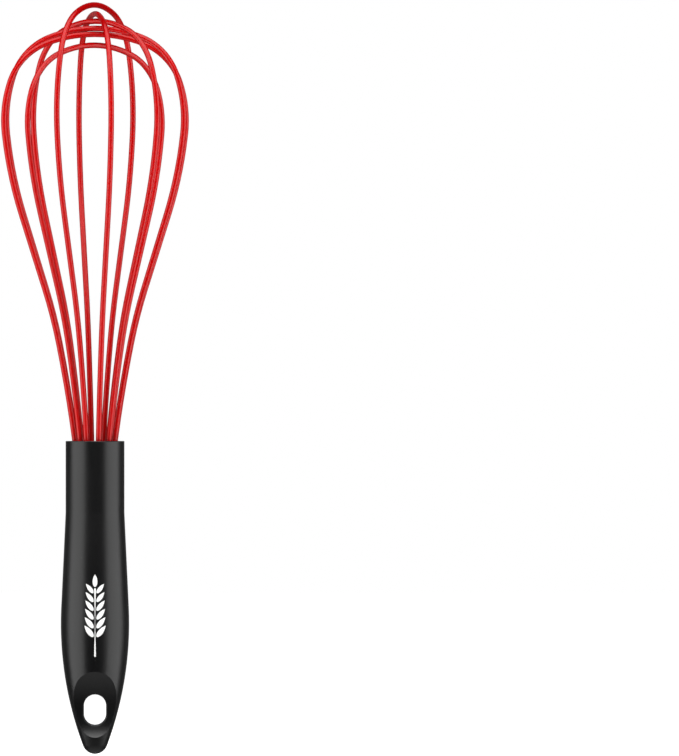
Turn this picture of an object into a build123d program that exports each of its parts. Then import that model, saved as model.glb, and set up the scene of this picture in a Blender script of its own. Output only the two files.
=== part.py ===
from build123d import *
from math import asin, cos, degrees, radians, sin, tan
import os

os.makedirs("parts", exist_ok=True)

# Balloon whisk, millimetres.  +Z runs up the handle's axis towards the wire balloon, and the origin is the
# rounded tip of the handle.  The printed side of the handle faces -Y.

# ---- handle outline ----
handle_length = 127.0
collar_radius = 11.93
collar_length = 29.0
upper_taper = 2.7
belly_radius = 13.87
belly_height = 53.0
tip_radius = 5.2
rim_break = 0.25

# ---- socket in the handle's mouth ----
socket_radius = 9.9
socket_depth = 38.0

# ---- hanging slot and the scoops around it ----
slot_height = 18.0
slot_width = 8.95
slot_length = 12.4
slot_edge_round = 0.6
scoop_height = 13.0
scoop_web = 9.0
scoop_upper_radius = 30.1
scoop_lower_radius = 13.7

# ---- wires ----
core_radius = 0.65
sleeve_radius = 1.16
mouth_circle_radius = 8.18
widest_radius = 37.3

# Each loop: name, turn about the axis in degrees, height of its top above the handle's mouth.
# Every loop is turned about a twelfth of a turn on from the last and tucks in under it.
loops = [
    ("a", 65.5, 177.0),
    ("b", 100.1, 173.4),
    ("c", 132.3, 170.4),
    ("d", 164.5, 167.5),
    ("e", 187.5, 165.1),
    ("f", 223.0, 160.65),
]

# Leans are measured outwards from +Z, in degrees, at the joins between the arcs of a loop.
mouth_lean = 7.55
throat_lean = 11.5
flank_lean = 17.55
waist_lean = 6.3
shoulder_lean = -18.5
crown_lean = -69.0
top_lean = -90.0
throat_curve = 590.0
flank_curve = 209.0
waist_curve = 170.0
shoulder_curve = 25.4

# ---- wire tails inside the handle ----
sleeve_depth = 14.0
tail_bend_depth = 15.0
tail_bend_radius = 40.0
tail_depth = 34.5
head_radius = 1.05
head_thickness = 1.0

# ---- guide plug and anchor plate ----
plug_recess = 1.5
plug_thickness = 8.5
plug_edge = 0.4
plate_radius = 9.0
plate_thickness = 1.5

plug_bottom_depth = plug_recess + plug_thickness
plate_top_depth = tail_depth - head_thickness - plate_thickness


# ---- wire paths ----
def turn(start, lean_from, lean_to, curve_radius):
    """An arc that starts at a lean and ends at another."""
    heading = (sin(radians(lean_from)), cos(radians(lean_from)))
    return JernArc(start, heading, curve_radius, lean_from - lean_to)


def solve_loop(top_height):
    """Flank length, belly curve and crown curve that bring a loop to its widest radius and to its top."""
    mouth, throat, flank, waist = (radians(v) for v in (mouth_lean, throat_lean, flank_lean, waist_lean))
    shoulder, crown = radians(-shoulder_lean), radians(-crown_lean)
    flank_start_radius = (
        mouth_circle_radius
        + throat_curve * (cos(mouth) - cos(throat))
        + flank_curve * (cos(throat) - cos(flank))
    )
    flank_start_height = throat_curve * (sin(throat) - sin(mouth)) + flank_curve * (sin(flank) - sin(throat))
    outward = widest_radius - flank_start_radius - waist_curve * (cos(waist) - cos(flank))
    inward = widest_radius - shoulder_curve * (cos(shoulder) - cos(crown))
    upward = (
        top_height
        - flank_start_height
        - waist_curve * (sin(flank) - sin(waist))
        - shoulder_curve * (sin(crown) - sin(shoulder))
    )
    crown_rise = (1 - sin(crown)) / cos(crown)
    belly_curve = (upward - outward / tan(flank) - inward * crown_rise) / (
        sin(waist) + sin(shoulder) - (1 - cos(waist)) / tan(flank) - (1 - cos(shoulder)) * crown_rise
    )
    flank_length = (outward - belly_curve * (1 - cos(waist))) / sin(flank)
    crown_curve = (inward - belly_curve * (1 - cos(shoulder))) / cos(crown)
    return flank_length, belly_curve, crown_curve


def tail_radius_at(depth):
    """Distance from the axis of a straight tail, at a depth below the mouth."""
    return mouth_circle_radius - depth * tan(radians(mouth_lean))


def loop_path(top_height, full_tail):
    """A whole loop drawn flat, with X outwards from the axis and Y up from the handle's mouth."""
    flank_length, belly_curve, crown_curve = solve_loop(top_height)
    flank_heading = (sin(radians(flank_lean)), cos(radians(flank_lean)))
    with BuildLine() as half:
        if full_tail:
            bend_end = (tail_radius_at(tail_bend_depth), -tail_bend_depth)
            bend_start = (
                bend_end[0] - tail_bend_radius * (1 - cos(radians(mouth_lean))),
                bend_end[1] - tail_bend_radius * sin(radians(mouth_lean)),
            )
            Line((bend_start[0], -tail_depth), bend_start)
            turn(bend_start, 0, mouth_lean, tail_bend_radius)
            Line(bend_end, (mouth_circle_radius, 0))
        else:
            Line((tail_radius_at(sleeve_depth), -sleeve_depth), (mouth_circle_radius, 0))
        throat = turn((mouth_circle_radius, 0), mouth_lean, throat_lean, throat_curve)
        neck = turn(throat @ 1, throat_lean, flank_lean, flank_curve)
        flank = PolarLine(neck @ 1, flank_length, direction=flank_heading)
        waist = turn(flank @ 1, flank_lean, waist_lean, waist_curve)
        belly = turn(waist @ 1, waist_lean, shoulder_lean, belly_curve)
        shoulder = turn(belly @ 1, shoulder_lean, crown_lean, shoulder_curve)
        turn(shoulder @ 1, crown_lean, top_lean, crown_curve)
        mirror(about=Plane.YZ)
    return half.line


def loop_plane(turn_angle):
    """The upright plane that a loop lies in, with its origin on the axis at the handle's mouth."""
    across = (cos(radians(turn_angle)), sin(radians(turn_angle)), 0)
    normal = (sin(radians(turn_angle)), -cos(radians(turn_angle)), 0)
    return Plane(origin=(0, 0, handle_length), x_dir=across, z_dir=normal)


def placed_path(turn_angle, top_height, full_tail):
    return Wire((loop_plane(turn_angle) * loop_path(top_height, full_tail)).edges())


def section_plane(path):
    return Plane(origin=path @ 0, z_dir=path % 0)


def tail_spots():
    """Centre of each wire tail, where the tails run straight down through the anchor plate."""
    bend_shift = tail_bend_radius * (1 - cos(radians(mouth_lean)))
    spot_radius = tail_radius_at(tail_bend_depth) - bend_shift
    for _, turn_angle, _ in loops:
        for side in (1, -1):
            angle = radians(turn_angle)
            yield (side * spot_radius * cos(angle), side * spot_radius * sin(angle))


# ---- handle: one moulding, turned outline, blind socket, slotted tail ----
# The side's arc touches the round tip, so its radius follows from the belly and the tip.
side_curve = (belly_radius**2 - tip_radius**2 + (belly_height - tip_radius) ** 2) / (
    2 * (belly_radius - tip_radius)
)
side_centre = (belly_radius - side_curve, belly_height)
tip_join_angle = -degrees(asin((belly_height - tip_radius) / (side_curve - tip_radius)))

with BuildPart() as handle:
    with BuildSketch(Plane.XZ):
        with BuildLine():
            CenterArc((0, tip_radius), tip_radius, -90, 90 + tip_join_angle)
            side_sweep = upper_taper - tip_join_angle
            side = CenterArc(side_centre, side_curve, tip_join_angle, side_sweep)
            rim = (collar_radius, handle_length)
            Polyline(side @ 1, (collar_radius, handle_length - collar_length), rim, (0, handle_length), (0, 0))
        make_face()
    revolve(axis=Axis.Z)
    # blind socket with a flat floor, open at the mouth
    with BuildSketch(Plane.XY.offset(handle_length)):
        Circle(socket_radius)
    extrude(amount=-socket_depth, mode=Mode.SUBTRACT)
    rim_edges = handle.edges().filter_by(GeomType.CIRCLE).filter_by_position(
        Axis.Z, handle_length - 0.01, handle_length + 0.01
    )
    fillet(rim_edges, radius=rim_break)
    # one scoop, cut from the front and repeated behind
    with BuildSketch(Plane.YZ):
        with BuildLine():
            web_side = -scoop_web / 2
            upper = CenterArc((web_side - scoop_upper_radius, scoop_height), scoop_upper_radius, 0, 60)
            lower = CenterArc((web_side - scoop_lower_radius, scoop_height), scoop_lower_radius, 0, -90)
            outside = (upper @ 1).X
            Polyline(lower @ 1, (outside, (lower @ 1).Y), upper @ 1)
        make_face()
        mirror(about=Plane.XZ)
    extrude(amount=belly_radius, both=True, mode=Mode.SUBTRACT)
    # hanging slot, straight through between the scoops
    before_slot = handle.edges()
    with BuildSketch(Plane.XZ):
        with Locations((0, slot_height)):
            SlotOverall(slot_length, slot_width, rotation=90)
    extrude(amount=belly_radius, both=True, mode=Mode.SUBTRACT)
    fillet(handle.edges() - before_slot, radius=slot_edge_round)
handle.part.label = "handle"
export_step(handle.part, "parts/handle.step")


# ---- guide plug: a disc sunk into the mouth, one slanted hole per wire ----
def tail_rod(radius, path_plane, bottom_depth):
    """A straight rod along a slanted wire tail, from just above the mouth down to a depth."""
    with BuildPart() as rod:
        with BuildLine(path_plane) as line:
            Line((tail_radius_at(-1), 1), (tail_radius_at(bottom_depth), -bottom_depth))
        with BuildSketch(Plane(origin=line.line @ 0, z_dir=line.line % 0)):
            Circle(radius)
        sweep(path=line.line)
    return rod.part


both_sides = [angle + side for _, angle, _ in loops for side in (0, 180)]
guide_holes = [tail_rod(sleeve_radius, loop_plane(angle), plug_bottom_depth + 1) for angle in both_sides]

with BuildPart() as guide_plug:
    with BuildSketch(Plane.XY.offset(handle_length - plug_bottom_depth)):
        Circle(socket_radius)
    extrude(amount=plug_thickness)
    chamfer(guide_plug.edges().group_by(Axis.Z)[-1], length=plug_edge)
    add(guide_holes, mode=Mode.SUBTRACT)
guide_plug.part.label = "guide_plug"
export_step(guide_plug.part, "parts/guide_plug.step")


# ---- anchor plate: a steel disc that the headed wire ends pull up against ----
with BuildPart() as anchor_plate:
    with BuildSketch(Plane.XY.offset(handle_length - plate_top_depth)):
        Circle(plate_radius)
        with Locations(*tail_spots()):
            Circle(core_radius, mode=Mode.SUBTRACT)
    extrude(amount=-plate_thickness)
anchor_plate.part.label = "anchor_plate"
export_step(anchor_plate.part, "parts/anchor_plate.step")


# ---- wires: a steel core with headed ends, and a silicone sleeve over all of it that shows ----
cores = []
sleeves = []
for name, turn_angle, top_height in loops:
    core_path = placed_path(turn_angle, top_height, full_tail=True)
    with BuildPart() as core:
        with BuildSketch(section_plane(core_path)):
            Circle(core_radius)
        sweep(path=core_path)
        spots = [core_path @ 0, core_path @ 1]
        with BuildSketch(Plane.XY.offset(handle_length - tail_depth)):
            with Locations(*[(spot.X, spot.Y) for spot in spots]):
                Circle(head_radius)
        extrude(amount=head_thickness)
    core.part.label = "core_" + name
    export_step(core.part, "parts/core_" + name + ".step")
    cores.append(core.part)

    sleeve_path = placed_path(turn_angle, top_height, full_tail=False)
    with BuildPart() as sleeve:
        with BuildSketch(section_plane(sleeve_path)):
            Circle(sleeve_radius)
            Circle(core_radius, mode=Mode.SUBTRACT)
        sweep(path=sleeve_path)
    sleeve.part.label = "sleeve_" + name
    export_step(sleeve.part, "parts/sleeve_" + name + ".step")
    sleeves.append(sleeve.part)


# ---- potting: cast resin that fills the socket below the plug and locks everything in it ----
with BuildPart() as potting:
    with BuildSketch(Plane.XY.offset(handle_length - socket_depth)):
        Circle(socket_radius)
    extrude(amount=socket_depth - plug_bottom_depth)
    add(anchor_plate.part, mode=Mode.SUBTRACT)
    add(cores + sleeves, mode=Mode.SUBTRACT)
potting.part.label = "potting"
export_step(potting.part, "parts/potting.step")
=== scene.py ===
import math

import bmesh
import bpy
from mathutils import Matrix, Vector
from mathutils.bvhtree import BVHTree


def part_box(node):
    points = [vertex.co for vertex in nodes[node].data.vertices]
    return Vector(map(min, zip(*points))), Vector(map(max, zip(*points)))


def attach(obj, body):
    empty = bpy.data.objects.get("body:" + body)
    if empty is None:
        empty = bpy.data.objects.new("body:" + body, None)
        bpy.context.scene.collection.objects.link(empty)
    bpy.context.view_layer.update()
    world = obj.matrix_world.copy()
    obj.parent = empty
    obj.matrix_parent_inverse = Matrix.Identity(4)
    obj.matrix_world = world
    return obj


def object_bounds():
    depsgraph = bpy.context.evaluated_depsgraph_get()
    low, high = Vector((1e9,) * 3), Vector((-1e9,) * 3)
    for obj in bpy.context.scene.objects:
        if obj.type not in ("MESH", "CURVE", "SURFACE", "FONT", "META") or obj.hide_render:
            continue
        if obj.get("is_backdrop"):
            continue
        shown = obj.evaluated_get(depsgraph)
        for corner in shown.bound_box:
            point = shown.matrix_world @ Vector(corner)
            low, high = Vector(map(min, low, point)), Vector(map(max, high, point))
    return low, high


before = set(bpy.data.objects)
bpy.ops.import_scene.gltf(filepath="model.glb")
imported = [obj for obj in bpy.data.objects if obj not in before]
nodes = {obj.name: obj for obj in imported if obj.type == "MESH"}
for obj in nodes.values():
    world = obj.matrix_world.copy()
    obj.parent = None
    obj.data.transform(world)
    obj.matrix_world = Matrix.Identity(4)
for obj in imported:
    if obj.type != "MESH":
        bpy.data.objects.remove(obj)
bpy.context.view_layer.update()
handle_low, handle_high = (Vector(corner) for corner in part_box("handle"))
whisk_low, whisk_high = (Vector(corner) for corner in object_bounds())
whisk_height = whisk_high.z - whisk_low.z
MM = 0.001


# ---------------------------------------------------------------- shader node helpers
class Tree:
    """Adds nodes to a material's or a group's tree and links them as they are made."""

    def __init__(self, tree):
        self.tree = tree

    def add(self, kind, settings=None, **inputs):
        node = self.tree.nodes.new(kind)
        for name, value in (settings or {}).items():
            setattr(node, name, value)
        for name, value in inputs.items():
            self.feed(node, name.replace("_", " "), value)
        return node

    def feed(self, node, socket, value):
        target = node.inputs[socket]
        if isinstance(value, bpy.types.NodeSocket):
            self.tree.links.new(value, target)
        else:
            target.default_value = value

    def maths(self, operation, first, second=0.0, clamp=False):
        node = self.tree.nodes.new("ShaderNodeMath")
        node.operation = operation
        node.use_clamp = clamp
        self.feed(node, 0, first)
        self.feed(node, 1, second)
        return node.outputs[0]

    def vector_maths(self, operation, first, second=None):
        node = self.tree.nodes.new("ShaderNodeVectorMath")
        node.operation = operation
        self.feed(node, 0, first)
        if second is not None:
            self.feed(node, 1, second)
        return node.outputs

    def axis(self, vector, name):
        return self.add("ShaderNodeSeparateXYZ", Vector=vector).outputs[name]

    def place(self):
        return self.add("ShaderNodeTexCoord").outputs["Object"]

    def remap(self, value, low, high, out_low=0.0, out_high=1.0):
        node = self.tree.nodes.new("ShaderNodeMapRange")
        node.interpolation_type = "SMOOTHSTEP"
        for socket, given in enumerate((value, low, high, out_low, out_high)):
            self.feed(node, socket, given)
        return node.outputs[0]

    def mix_colour(self, share, first, second):
        node = self.tree.nodes.new("ShaderNodeMix")
        node.data_type = "RGBA"
        self.feed(node, 0, share)
        for socket, value in ((6, first), (7, second)):
            self.feed(node, socket, value if isinstance(value, bpy.types.NodeSocket) else (*value, 1.0))
        return node.outputs[2]

    def group(self, tree, **inputs):
        node = self.tree.nodes.new("ShaderNodeGroup")
        node.node_tree = tree
        for name, value in inputs.items():
            self.feed(node, name.replace("_", " "), value)
        return node.outputs


def new_group(title, inputs, outputs):
    """A shader node group with float inputs {name: default} and float outputs."""
    tree = bpy.data.node_groups.new(title, "ShaderNodeTree")
    for name, default in inputs.items():
        socket = tree.interface.new_socket(name=name, in_out="INPUT", socket_type="NodeSocketFloat")
        socket.default_value = default
    for name in outputs:
        tree.interface.new_socket(name=name, in_out="OUTPUT", socket_type="NodeSocketFloat")
    build = Tree(tree)
    source = build.add("NodeGroupInput").outputs
    sink = build.add("NodeGroupOutput")
    return tree, build, source, sink


# ---------------------------------------------------------------- shared surface effects
def make_moulded_grain():
    """Fine texture left by a mould: a soft pebble with a finer speckle on it."""
    tree, build, source, sink = new_group(
        "moulded_grain", {"Pebbles per metre": 5000.0, "Speckle": 0.35}, ["Height", "Speckle"]
    )
    place = build.place()
    pebble = build.add(
        "ShaderNodeTexVoronoi", {"feature": "SMOOTH_F1"}, Vector=place, Scale=source["Pebbles per metre"]
    ).outputs["Distance"]
    finer = build.maths("MULTIPLY", source["Pebbles per metre"], 2.7)
    speckle = build.add(
        "ShaderNodeTexNoise", Vector=place, Scale=finer, Detail=3.0, Roughness=0.6
    ).outputs["Fac"]
    height = build.maths("ADD", pebble, build.maths("MULTIPLY", speckle, source["Speckle"]))
    build.feed(sink, "Height", height)
    build.feed(sink, "Speckle", speckle)
    return tree


def make_slow_drift():
    """Broad, faint unevenness, as of handling or uneven cooling."""
    tree, build, source, sink = new_group(
        "slow_drift", {"Patches per metre": 60.0, "Stretch along Z": 0.4}, ["Drift"]
    )
    stretch = build.add("ShaderNodeCombineXYZ", X=1.0, Y=1.0, Z=source["Stretch along Z"]).outputs[0]
    stretched = build.vector_maths("MULTIPLY", build.place(), stretch)["Vector"]
    patches = build.add(
        "ShaderNodeTexNoise",
        Vector=stretched,
        Scale=source["Patches per metre"],
        Detail=4.0,
        Roughness=0.55,
    ).outputs["Fac"]
    build.feed(sink, "Drift", build.remap(patches, 0.3, 0.7))
    return tree


def make_rubbed_edge():
    """1 on sharp outer edges, where hands and drawers rub, fading to 0 on open faces."""
    tree, build, source, sink = new_group(
        "rubbed_edge", {"Width": 0.4 * MM, "Break up per metre": 900.0}, ["Mask"]
    )
    face = build.add("ShaderNodeNewGeometry").outputs["Normal"]
    rounded = build.add("ShaderNodeBevel", {"samples": 4}, Radius=source["Width"]).outputs[0]
    agree = build.vector_maths("DOT_PRODUCT", face, rounded)["Value"]
    edge = build.remap(agree, 0.995, 0.90)
    patchy = build.add(
        "ShaderNodeTexNoise", Vector=build.place(), Scale=source["Break up per metre"], Detail=4.0
    ).outputs["Fac"]
    worn = build.maths("MULTIPLY", edge, build.remap(patchy, 0.35, 0.7), clamp=True)
    build.feed(sink, "Mask", worn)
    return tree


def make_fine_dust():
    """Sparse specks of lint and flour, more of them on faces that look up."""
    tree, build, source, sink = new_group(
        "fine_dust", {"Specks per metre": 1400.0, "Amount": 0.1}, ["Mask"]
    )
    height_of_normal = build.axis(build.add("ShaderNodeNewGeometry").outputs["Normal"], "Z")
    upward = build.remap(height_of_normal, -0.4, 1.0, 0.25, 1.0)
    cells = build.add(
        "ShaderNodeTexVoronoi", Vector=build.place(), Scale=source["Specks per metre"], Randomness=1.0
    )
    speck = build.remap(cells.outputs["Distance"], 0.16, 0.04)
    cell_value = build.add("ShaderNodeSeparateColor", Color=cells.outputs["Color"]).outputs["Red"]
    chosen = build.maths("LESS_THAN", cell_value, build.maths("MULTIPLY", source["Amount"], upward))
    build.feed(sink, "Mask", build.maths("MULTIPLY", speck, chosen))
    return tree


moulded_grain = make_moulded_grain()
slow_drift = make_slow_drift()
rubbed_edge = make_rubbed_edge()
fine_dust = make_fine_dust()


# ---------------------------------------------------------------- materials
def new_material(name):
    material = bpy.data.materials.new(name)
    material.use_nodes = True
    material.node_tree.nodes.clear()
    build = Tree(material.node_tree)
    shader = build.add("ShaderNodeBsdfPrincipled")
    build.add("ShaderNodeOutputMaterial", Surface=shader.outputs[0])
    return material, build, shader


def bump(build, shader, height, strength, distance):
    lumps = build.add("ShaderNodeBump", Strength=strength, Distance=distance, Height=height)
    build.feed(shader, "Normal", lumps.outputs[0])


def make_black_nylon():
    """Satin black moulding: fine mould grain, rubbed edges, a little lint, and a seam down each side."""
    material, build, shader = new_material("satin_black_nylon")
    grain = build.group(moulded_grain, Pebbles_per_metre=5200.0, Speckle=0.45)
    drift = build.group(slow_drift, Patches_per_metre=55.0, Stretch_along_Z=0.35)
    rubbed = build.group(rubbed_edge, Width=0.5 * MM, Break_up_per_metre=700.0)
    dust = build.group(fine_dust, Specks_per_metre=900.0, Amount=0.05)
    body = build.mix_colour(drift["Drift"], (0.0019, 0.0019, 0.0021), (0.0029, 0.0029, 0.0031))
    edged = build.mix_colour(build.maths("MULTIPLY", rubbed["Mask"], 0.5), body, (0.022, 0.022, 0.023))
    dusty = build.mix_colour(build.maths("MULTIPLY", dust["Mask"], 0.30), edged, (0.16, 0.155, 0.15))
    build.feed(shader, "Base Color", dusty)
    satin = build.remap(drift["Drift"], 0.0, 1.0, 0.30, 0.34)
    speckled = build.maths("ADD", satin, build.maths("MULTIPLY", grain["Speckle"], 0.05))
    polished = build.maths("SUBTRACT", speckled, build.maths("MULTIPLY", rubbed["Mask"], 0.08))
    build.feed(shader, "Roughness", polished)
    # the mould's parting line, a fine ridge where the outline crosses the plane between front and back
    from_seam = build.maths("ABSOLUTE", build.axis(build.place(), "Y"))
    seam = build.maths("MULTIPLY", build.remap(from_seam, 0.12 * MM, 0.03 * MM), 1.6)
    height = build.maths("ADD", build.maths("MULTIPLY", grain["Height"], 0.5), seam)
    bump(build, shader, height, 0.16, 0.06 * MM)
    build.feed(shader, "IOR", 1.46)
    return material


def make_plug_nylon():
    """Duller black moulding for the plug that holds the wires apart."""
    material, build, shader = new_material("plug_black_nylon")
    grain = build.group(moulded_grain, Pebbles_per_metre=3800.0, Speckle=0.6)
    dust = build.group(fine_dust, Specks_per_metre=1100.0, Amount=0.16)
    body = build.mix_colour(grain["Speckle"], (0.0035, 0.0035, 0.0035), (0.0080, 0.0080, 0.0078))
    dusty = build.mix_colour(build.maths("MULTIPLY", dust["Mask"], 0.35), body, (0.20, 0.18, 0.15))
    build.feed(shader, "Base Color", dusty)
    build.feed(shader, "Roughness", build.remap(grain["Speckle"], 0.2, 0.8, 0.45, 0.62))
    bump(build, shader, grain["Height"], 0.3, 0.08 * MM)
    return material


def make_red_silicone():
    """Satin red silicone: soft lustre, a slightly rippled skin, lint that clings to it, and painted shade
    darkening the wires where they are seen edge on.
    """
    material, build, shader = new_material("red_silicone")
    grain = build.group(moulded_grain, Pebbles_per_metre=2600.0, Speckle=0.8)
    drift = build.group(slow_drift, Patches_per_metre=90.0, Stretch_along_Z=0.3)
    dust = build.group(fine_dust, Specks_per_metre=1500.0, Amount=0.04)
    body = build.mix_colour(drift["Drift"], (0.51, 0.0006, 0.0008), (0.55, 0.0014, 0.0016))
    deep = build.mix_colour(build.maths("MULTIPLY", grain["Speckle"], 0.15), body, (0.45, 0.0004, 0.0006))
    # painted shade: the base colour darkens to a deeper red where the wire is seen edge on, standing in
    # for the shade along the wires' edges; the same edge-on mask also lowers the specular level and
    # reddens the specular tint there
    facing = build.add("ShaderNodeLayerWeight", Blend=0.5).outputs["Facing"]
    edge_on_shade_mask = build.remap(facing, 0.18, 0.60)
    skin = build.mix_colour(edge_on_shade_mask, deep, (0.33, 0.0004, 0.0008))
    dusty = build.mix_colour(build.maths("MULTIPLY", dust["Mask"], 0.18), skin, (0.90, 0.55, 0.52))
    build.feed(shader, "Base Color", dusty)
    lustre = build.maths("SUBTRACT", 0.5, build.maths("MULTIPLY", edge_on_shade_mask, 0.35))
    build.feed(shader, "Specular IOR Level", lustre)
    sheen = build.mix_colour(edge_on_shade_mask, (1.0, 1.0, 1.0), (1.0, 0.10, 0.10))
    build.feed(shader, "Specular Tint", sheen)
    satin = build.remap(drift["Drift"], 0.0, 1.0, 0.165, 0.20)
    speckled = build.maths("ADD", satin, build.maths("MULTIPLY", grain["Speckle"], 0.05))
    build.feed(shader, "Roughness", speckled)
    bump(build, shader, grain["Height"], 0.10, 0.05 * MM)
    build.feed(shader, "IOR", 1.43)
    return material


def make_drawn_wire():
    """Stainless spring wire with the fine marks that drawing leaves along it."""
    material, build, shader = new_material("drawn_stainless_wire")
    drift = build.group(slow_drift, Patches_per_metre=2500.0, Stretch_along_Z=0.04)
    grain = build.group(moulded_grain, Pebbles_per_metre=9000.0, Speckle=0.9)
    steel = build.mix_colour(drift["Drift"], (0.50, 0.50, 0.51), (0.66, 0.66, 0.67))
    build.feed(shader, "Base Color", steel)
    build.feed(shader, "Roughness", build.remap(grain["Speckle"], 0.2, 0.8, 0.22, 0.38))
    bump(build, shader, drift["Drift"], 0.15, 0.02 * MM)
    build.feed(shader, "Metallic", 1.0)
    return material


def make_stamped_plate():
    """Stamped stainless sheet: cloudy rolled face with brighter rubbed rims."""
    material, build, shader = new_material("stamped_stainless_plate")
    drift = build.group(slow_drift, Patches_per_metre=700.0, Stretch_along_Z=1.0)
    rubbed = build.group(rubbed_edge, Width=0.2 * MM, Break_up_per_metre=1500.0)
    rolled = build.mix_colour(drift["Drift"], (0.44, 0.44, 0.45), (0.58, 0.58, 0.59))
    bright = build.mix_colour(rubbed["Mask"], rolled, (0.78, 0.78, 0.79))
    build.feed(shader, "Base Color", bright)
    build.feed(shader, "Roughness", build.remap(drift["Drift"], 0.0, 1.0, 0.28, 0.45))
    bump(build, shader, drift["Drift"], 0.2, 0.04 * MM)
    build.feed(shader, "Metallic", 1.0)
    return material


def make_cast_resin():
    """Amber potting resin with cloudy flow and small bubbles."""
    material, build, shader = new_material("cast_amber_resin")
    drift = build.group(slow_drift, Patches_per_metre=160.0, Stretch_along_Z=0.7)
    bubbles = build.group(fine_dust, Specks_per_metre=800.0, Amount=0.5)
    body = build.mix_colour(drift["Drift"], (0.24, 0.13, 0.035), (0.34, 0.20, 0.060))
    bubbled = build.mix_colour(build.maths("MULTIPLY", bubbles["Mask"], 0.6), body, (0.55, 0.42, 0.22))
    build.feed(shader, "Base Color", bubbled)
    build.feed(shader, "Roughness", build.remap(drift["Drift"], 0.0, 1.0, 0.12, 0.24))
    bump(build, shader, bubbles["Mask"], 0.3, 0.10 * MM)
    return material


def make_white_ink():
    """Pad-printed white: a thin matt film with pinholes and a faint grey where it is thin."""
    material, build, shader = new_material("white_print_ink")
    grain = build.group(moulded_grain, Pebbles_per_metre=5200.0, Speckle=0.45)
    drift = build.group(slow_drift, Patches_per_metre=260.0, Stretch_along_Z=1.0)
    pinholes = build.group(fine_dust, Specks_per_metre=3200.0, Amount=0.12)
    film = build.mix_colour(drift["Drift"], (0.92, 0.92, 0.91), (0.97, 0.97, 0.96))
    holed = build.mix_colour(build.maths("MULTIPLY", pinholes["Mask"], 0.30), film, (0.25, 0.25, 0.25))
    build.feed(shader, "Base Color", holed)
    build.feed(shader, "Roughness", build.remap(grain["Speckle"], 0.2, 0.8, 0.42, 0.56))
    bump(build, shader, grain["Height"], 0.10, 0.04 * MM)
    return material


black_nylon = make_black_nylon()
finishes = {
    "handle": black_nylon,
    "guide_plug": make_plug_nylon(),
    "potting": make_cast_resin(),
    "anchor_plate": make_stamped_plate(),
    "core": make_drawn_wire(),
    "sleeve": make_red_silicone(),
}
for name, node in nodes.items():
    finish = finishes.get(name) or finishes[name.rsplit("_", 1)[0]]
    for holder in node.material_slots:
        holder.material = finish


# ---------------------------------------------------------------- printed mark
def surface_in_front(tree, x, z):
    """The point of the handle's front at this place, seen from -Y."""
    start = Vector((x, handle_low.y - 20 * MM, z))
    return tree.ray_cast(start, Vector((0, 1, 0)))[0]


def outline_patch(outline, tree, rings, film):
    """A thin closed film on the handle's front, inside an outline of (x, z) points about a centre."""
    centre = sum(outline, Vector((0, 0))) / len(outline)
    mesh = bmesh.new()
    layers = []
    for lift in (film, -film):
        rows = []
        for step in range(1, rings + 1):
            row = []
            for point in outline:
                at = centre.lerp(point, step / rings)
                hit = surface_in_front(tree, at.x, at.y)
                row.append(mesh.verts.new(hit + Vector((0, -lift, 0))))
            rows.append(row)
        hit = surface_in_front(tree, centre.x, centre.y)
        rows.insert(0, [mesh.verts.new(hit + Vector((0, -lift, 0)))])
        layers.append(rows)
    count = len(outline)
    for rows in layers:
        for i in range(count):
            j = (i + 1) % count
            mesh.faces.new((rows[0][0], rows[1][i], rows[1][j]))
            for inner, outer in zip(rows[1:], rows[2:]):
                mesh.faces.new((inner[i], outer[i], outer[j], inner[j]))
    for i in range(count):
        j = (i + 1) % count
        mesh.faces.new((layers[0][-1][i], layers[1][-1][i], layers[1][-1][j], layers[0][-1][j]))
    bmesh.ops.recalc_face_normals(mesh, faces=mesh.faces)
    return mesh


def grain_outline(base, length, width, lean, points=22):
    """A pointed ear-of-wheat grain, from its base outwards, leaning off the vertical by an angle."""
    along = Vector((math.sin(lean), math.cos(lean)))
    across = Vector((math.cos(lean), -math.sin(lean)))
    outline = []
    for i in range(points):
        turn = 2 * math.pi * i / points
        reach = (1 - math.cos(turn)) / 2
        bulge = math.sin(turn) * (0.60 + 0.40 * math.cos(turn - 0.9 * math.sin(turn)))
        outline.append(base + along * length * reach + across * width * bulge)
    return outline


def bar_outline(start, end, width, points=10):
    """A round-ended stroke."""
    along = (end - start).normalized()
    across = Vector((along.y, -along.x))
    outline = []
    for centre, first in ((end, 90), (start, 270)):
        for i in range(points):
            turn = math.radians(first - 180 * i / (points - 1))
            outline.append(centre + (along * math.cos(turn) + across * math.sin(turn)) * width / 2)
    return outline


STEM_WIDTH = 0.7 * MM
GRAIN_PAIRS = 6
GRAIN_WIDTH = 1.10 * MM
TOP_GRAIN_WIDTH = 1.05 * MM
GRAIN_OFF_STEM = 0.70 * MM
GRAIN_LEAN = math.radians(38)
INK_THICKNESS = 0.02 * MM  # on each side of the handle's face
# heights and lengths in the ear, as shares of its whole height
STEM_TOP = 0.82
FIRST_PAIR, PAIR_STEP = 0.235, 0.107
TOP_GRAIN = 0.845
GRAIN_LENGTH, TOP_GRAIN_LENGTH = 0.175, 0.155
PAIR_SHRINK = 0.035  # how much smaller each pair is than the one below
# the stem is long, so it takes more rings to follow the swell of the handle
STEM_RINGS, GRAIN_RINGS = 24, 4


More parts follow.
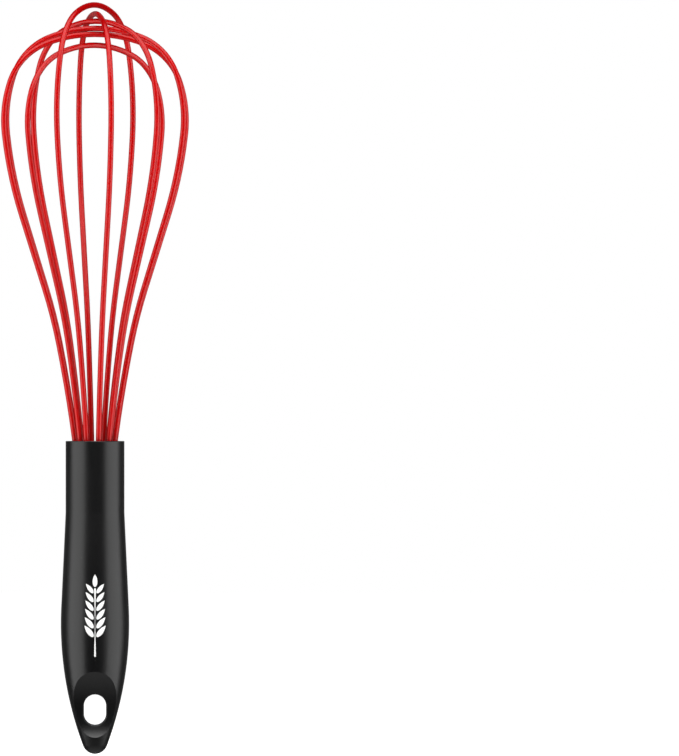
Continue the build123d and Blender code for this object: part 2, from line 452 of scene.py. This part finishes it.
def make_wheat_mark(low, high):
    """A plain wheat ear, printed up the front of the handle between two heights."""
    tree = BVHTree.FromObject(nodes["handle"], bpy.context.evaluated_depsgraph_get())
    height = high - low
    stem = bar_outline(Vector((0, low)), Vector((0, low + height * STEM_TOP)), STEM_WIDTH)
    grains = []
    for i in range(GRAIN_PAIRS):
        base = low + height * (FIRST_PAIR + PAIR_STEP * i)
        size = 1.0 - PAIR_SHRINK * i
        length = height * GRAIN_LENGTH * size
        for side in (-1, 1):
            foot = Vector((side * GRAIN_OFF_STEM, base))
            grains.append(grain_outline(foot, length, GRAIN_WIDTH * size, side * GRAIN_LEAN))
    top = Vector((0, low + height * TOP_GRAIN))
    grains.append(grain_outline(top, height * TOP_GRAIN_LENGTH, TOP_GRAIN_WIDTH, 0.0))
    whole = bmesh.new()
    for shape, rings in [(stem, STEM_RINGS)] + [(grain, GRAIN_RINGS) for grain in grains]:
        patch = outline_patch(shape, tree, rings, INK_THICKNESS)
        part = bpy.data.meshes.new("patch")
        patch.to_mesh(part)
        patch.free()
        whole.from_mesh(part)
        bpy.data.meshes.remove(part)
    mesh = bpy.data.meshes.new("print_mark")
    whole.to_mesh(mesh)
    whole.free()
    mark = bpy.data.objects.new("print_mark", mesh)
    bpy.context.scene.collection.objects.link(mark)
    mark.data.materials.append(make_white_ink())
    for face in mark.data.polygons:
        face.use_smooth = True
    return mark


MARK_LOW, MARK_HIGH = 0.314, 0.575  # shares of the handle's length
mark = make_wheat_mark(
    handle_low.z + MARK_LOW * (handle_high.z - handle_low.z),
    handle_low.z + MARK_HIGH * (handle_high.z - handle_low.z),
)
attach(mark, "root")


# ---------------------------------------------------------------- floor, light and camera
FLOOR_HALF_SIDE = 6.0
FLOOR_GAP = 0.5 * MM  # keeps the sheet clear of the whisk's tip


def make_floor():
    """A pale sheet under the whisk, white to the eye and dim to everything it would light."""
    mesh = bmesh.new()
    bmesh.ops.create_grid(mesh, x_segments=1, y_segments=1, size=FLOOR_HALF_SIDE)
    data = bpy.data.meshes.new("floor")
    mesh.to_mesh(data)
    mesh.free()
    floor = bpy.data.objects.new("floor", data)
    floor.location.z = whisk_low.z - FLOOR_GAP
    bpy.context.scene.collection.objects.link(floor)
    material, build, shader = new_material("floor_paper")
    place = build.place()
    fibre = build.add("ShaderNodeTexNoise", Vector=place, Scale=900.0, Detail=3.0).outputs["Fac"]
    paper = build.mix_colour(fibre, (0.92, 0.92, 0.92), (0.95, 0.95, 0.95))
    build.feed(shader, "Base Color", paper)
    build.feed(shader, "Roughness", 0.9)
    build.feed(shader, "Specular IOR Level", 0.0)
    seen = build.add("ShaderNodeLightPath").outputs["Is Camera Ray"]
    away = build.vector_maths("LENGTH", place)["Value"]
    glow = build.remap(away, 0.10, 1.20, 0.60, 1.0)
    build.feed(shader, "Emission Strength", build.maths("MULTIPLY", seen, glow))
    build.feed(shader, "Emission Color", (1.0, 1.0, 1.0, 1.0))
    data.materials.append(material)
    floor.visible_glossy = False
    floor.visible_shadow = False
    floor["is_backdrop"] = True


def make_softbox(name, place, aim, width, tall, radiance):
    """A soft rectangular light at a place, facing a point."""
    light = bpy.data.lights.new(name, "AREA")
    light.shape = "RECTANGLE"
    light.size = width
    light.size_y = tall
    light.energy = radiance * math.pi * width * tall
    lamp = bpy.data.objects.new(name, light)
    lamp.location = place
    lamp.rotation_euler = (Vector(aim) - Vector(place)).to_track_quat("-Z", "Y").to_euler()
    lamp.visible_camera = False
    bpy.context.scene.collection.objects.link(lamp)
    return lamp


def make_world():
    """White to the eye, and a dim room that is darker in front of the whisk than behind and below it."""
    world = bpy.data.worlds.new("studio")
    bpy.context.scene.world = world
    world.use_nodes = True
    world.node_tree.nodes.clear()
    build = Tree(world.node_tree)
    heading = build.add("ShaderNodeTexCoord").outputs["Generated"]
    behind = build.remap(build.axis(heading, "Y"), 0.62, 0.98, 0.02, 0.18)
    below = build.remap(build.axis(heading, "Z"), -0.50, -0.95, 0.0, 0.55)
    room = build.maths("MAXIMUM", behind, below)
    seen = build.add("ShaderNodeLightPath").outputs["Is Camera Ray"]
    level = build.maths("MAXIMUM", seen, room)
    glow = build.add("ShaderNodeBackground", Color=(1.0, 1.0, 1.0, 1.0), Strength=level)
    build.add("ShaderNodeOutputWorld", Surface=glow.outputs[0])


make_floor()
make_world()
mid_height = whisk_low.z + 0.5 * whisk_height
SIDE_REACH = 0.70  # metres from the whisk's axis
SIDE_WIDTH, SIDE_TALL, SIDE_RADIANCE = 0.84, 1.00, 2.35
for side, azimuth in (("left", -71), ("right", 73)):
    turn = math.radians(azimuth)
    stand = (SIDE_REACH * math.sin(turn), -SIDE_REACH * math.cos(turn), mid_height)
    make_softbox("softbox_" + side, stand, (0, 0, mid_height), SIDE_WIDTH, SIDE_TALL, SIDE_RADIANCE)
ABOVE_PLACE, WHISK_TOP = (0, -0.16, whisk_high.z + 0.46), (0, 0, whisk_high.z)
ABOVE_SIDE, ABOVE_RADIANCE = 0.90, 2.6
make_softbox("softbox_above", ABOVE_PLACE, WHISK_TOP, ABOVE_SIDE, ABOVE_SIDE, ABOVE_RADIANCE)
# a panel high in front, for the shine it leaves in the scoop below the hanging slot, kept off the wires
PANEL_PLACE = (0, -0.53, 0.66)
PANEL_WIDTH, PANEL_TALL, PANEL_RADIANCE = 0.36, 0.66, 3.8
scoop_panel = make_softbox("panel_front", PANEL_PLACE, (0, 0, 0), PANEL_WIDTH, PANEL_TALL, PANEL_RADIANCE)
scoop_panel.visible_diffuse = False
panel_reach = bpy.data.collections.new("lit_by_panel_front")
panel_reach.objects.link(nodes["handle"])
scoop_panel.light_linking.receiver_collection = panel_reach

# The camera stands far off in front of the whisk's axis, level with its middle, and is aimed past
# its right side, so that the whisk stands in the left of the frame.
WHISK_IN_FRAME = 0.99444  # the whisk's height, as a share of the frame's height
AXIS_LEFT_OF_MIDDLE = 0.32341  # how far its axis stands left of the middle, as a share of the same
camera_data = bpy.data.cameras.new("camera")
camera = bpy.data.objects.new("camera", camera_data)
bpy.context.scene.collection.objects.link(camera)
CAMERA_DISTANCE = 8.0
SENSOR_WIDTH = 36.0
VIEW_REACH = 50.0
shown_height = whisk_height / WHISK_IN_FRAME
aim_right = math.atan(AXIS_LEFT_OF_MIDDLE * shown_height / CAMERA_DISTANCE)
camera_data.sensor_width = SENSOR_WIDTH
camera_data.lens = SENSOR_WIDTH * CAMERA_DISTANCE * math.cos(aim_right) / shown_height
camera_data.clip_end = VIEW_REACH
camera.location = (0, -CAMERA_DISTANCE, mid_height)
camera.rotation_euler = (math.radians(90), 0, -aim_right)
bpy.context.scene.camera = camera
bpy.context.scene.view_settings.view_transform = "Standard"
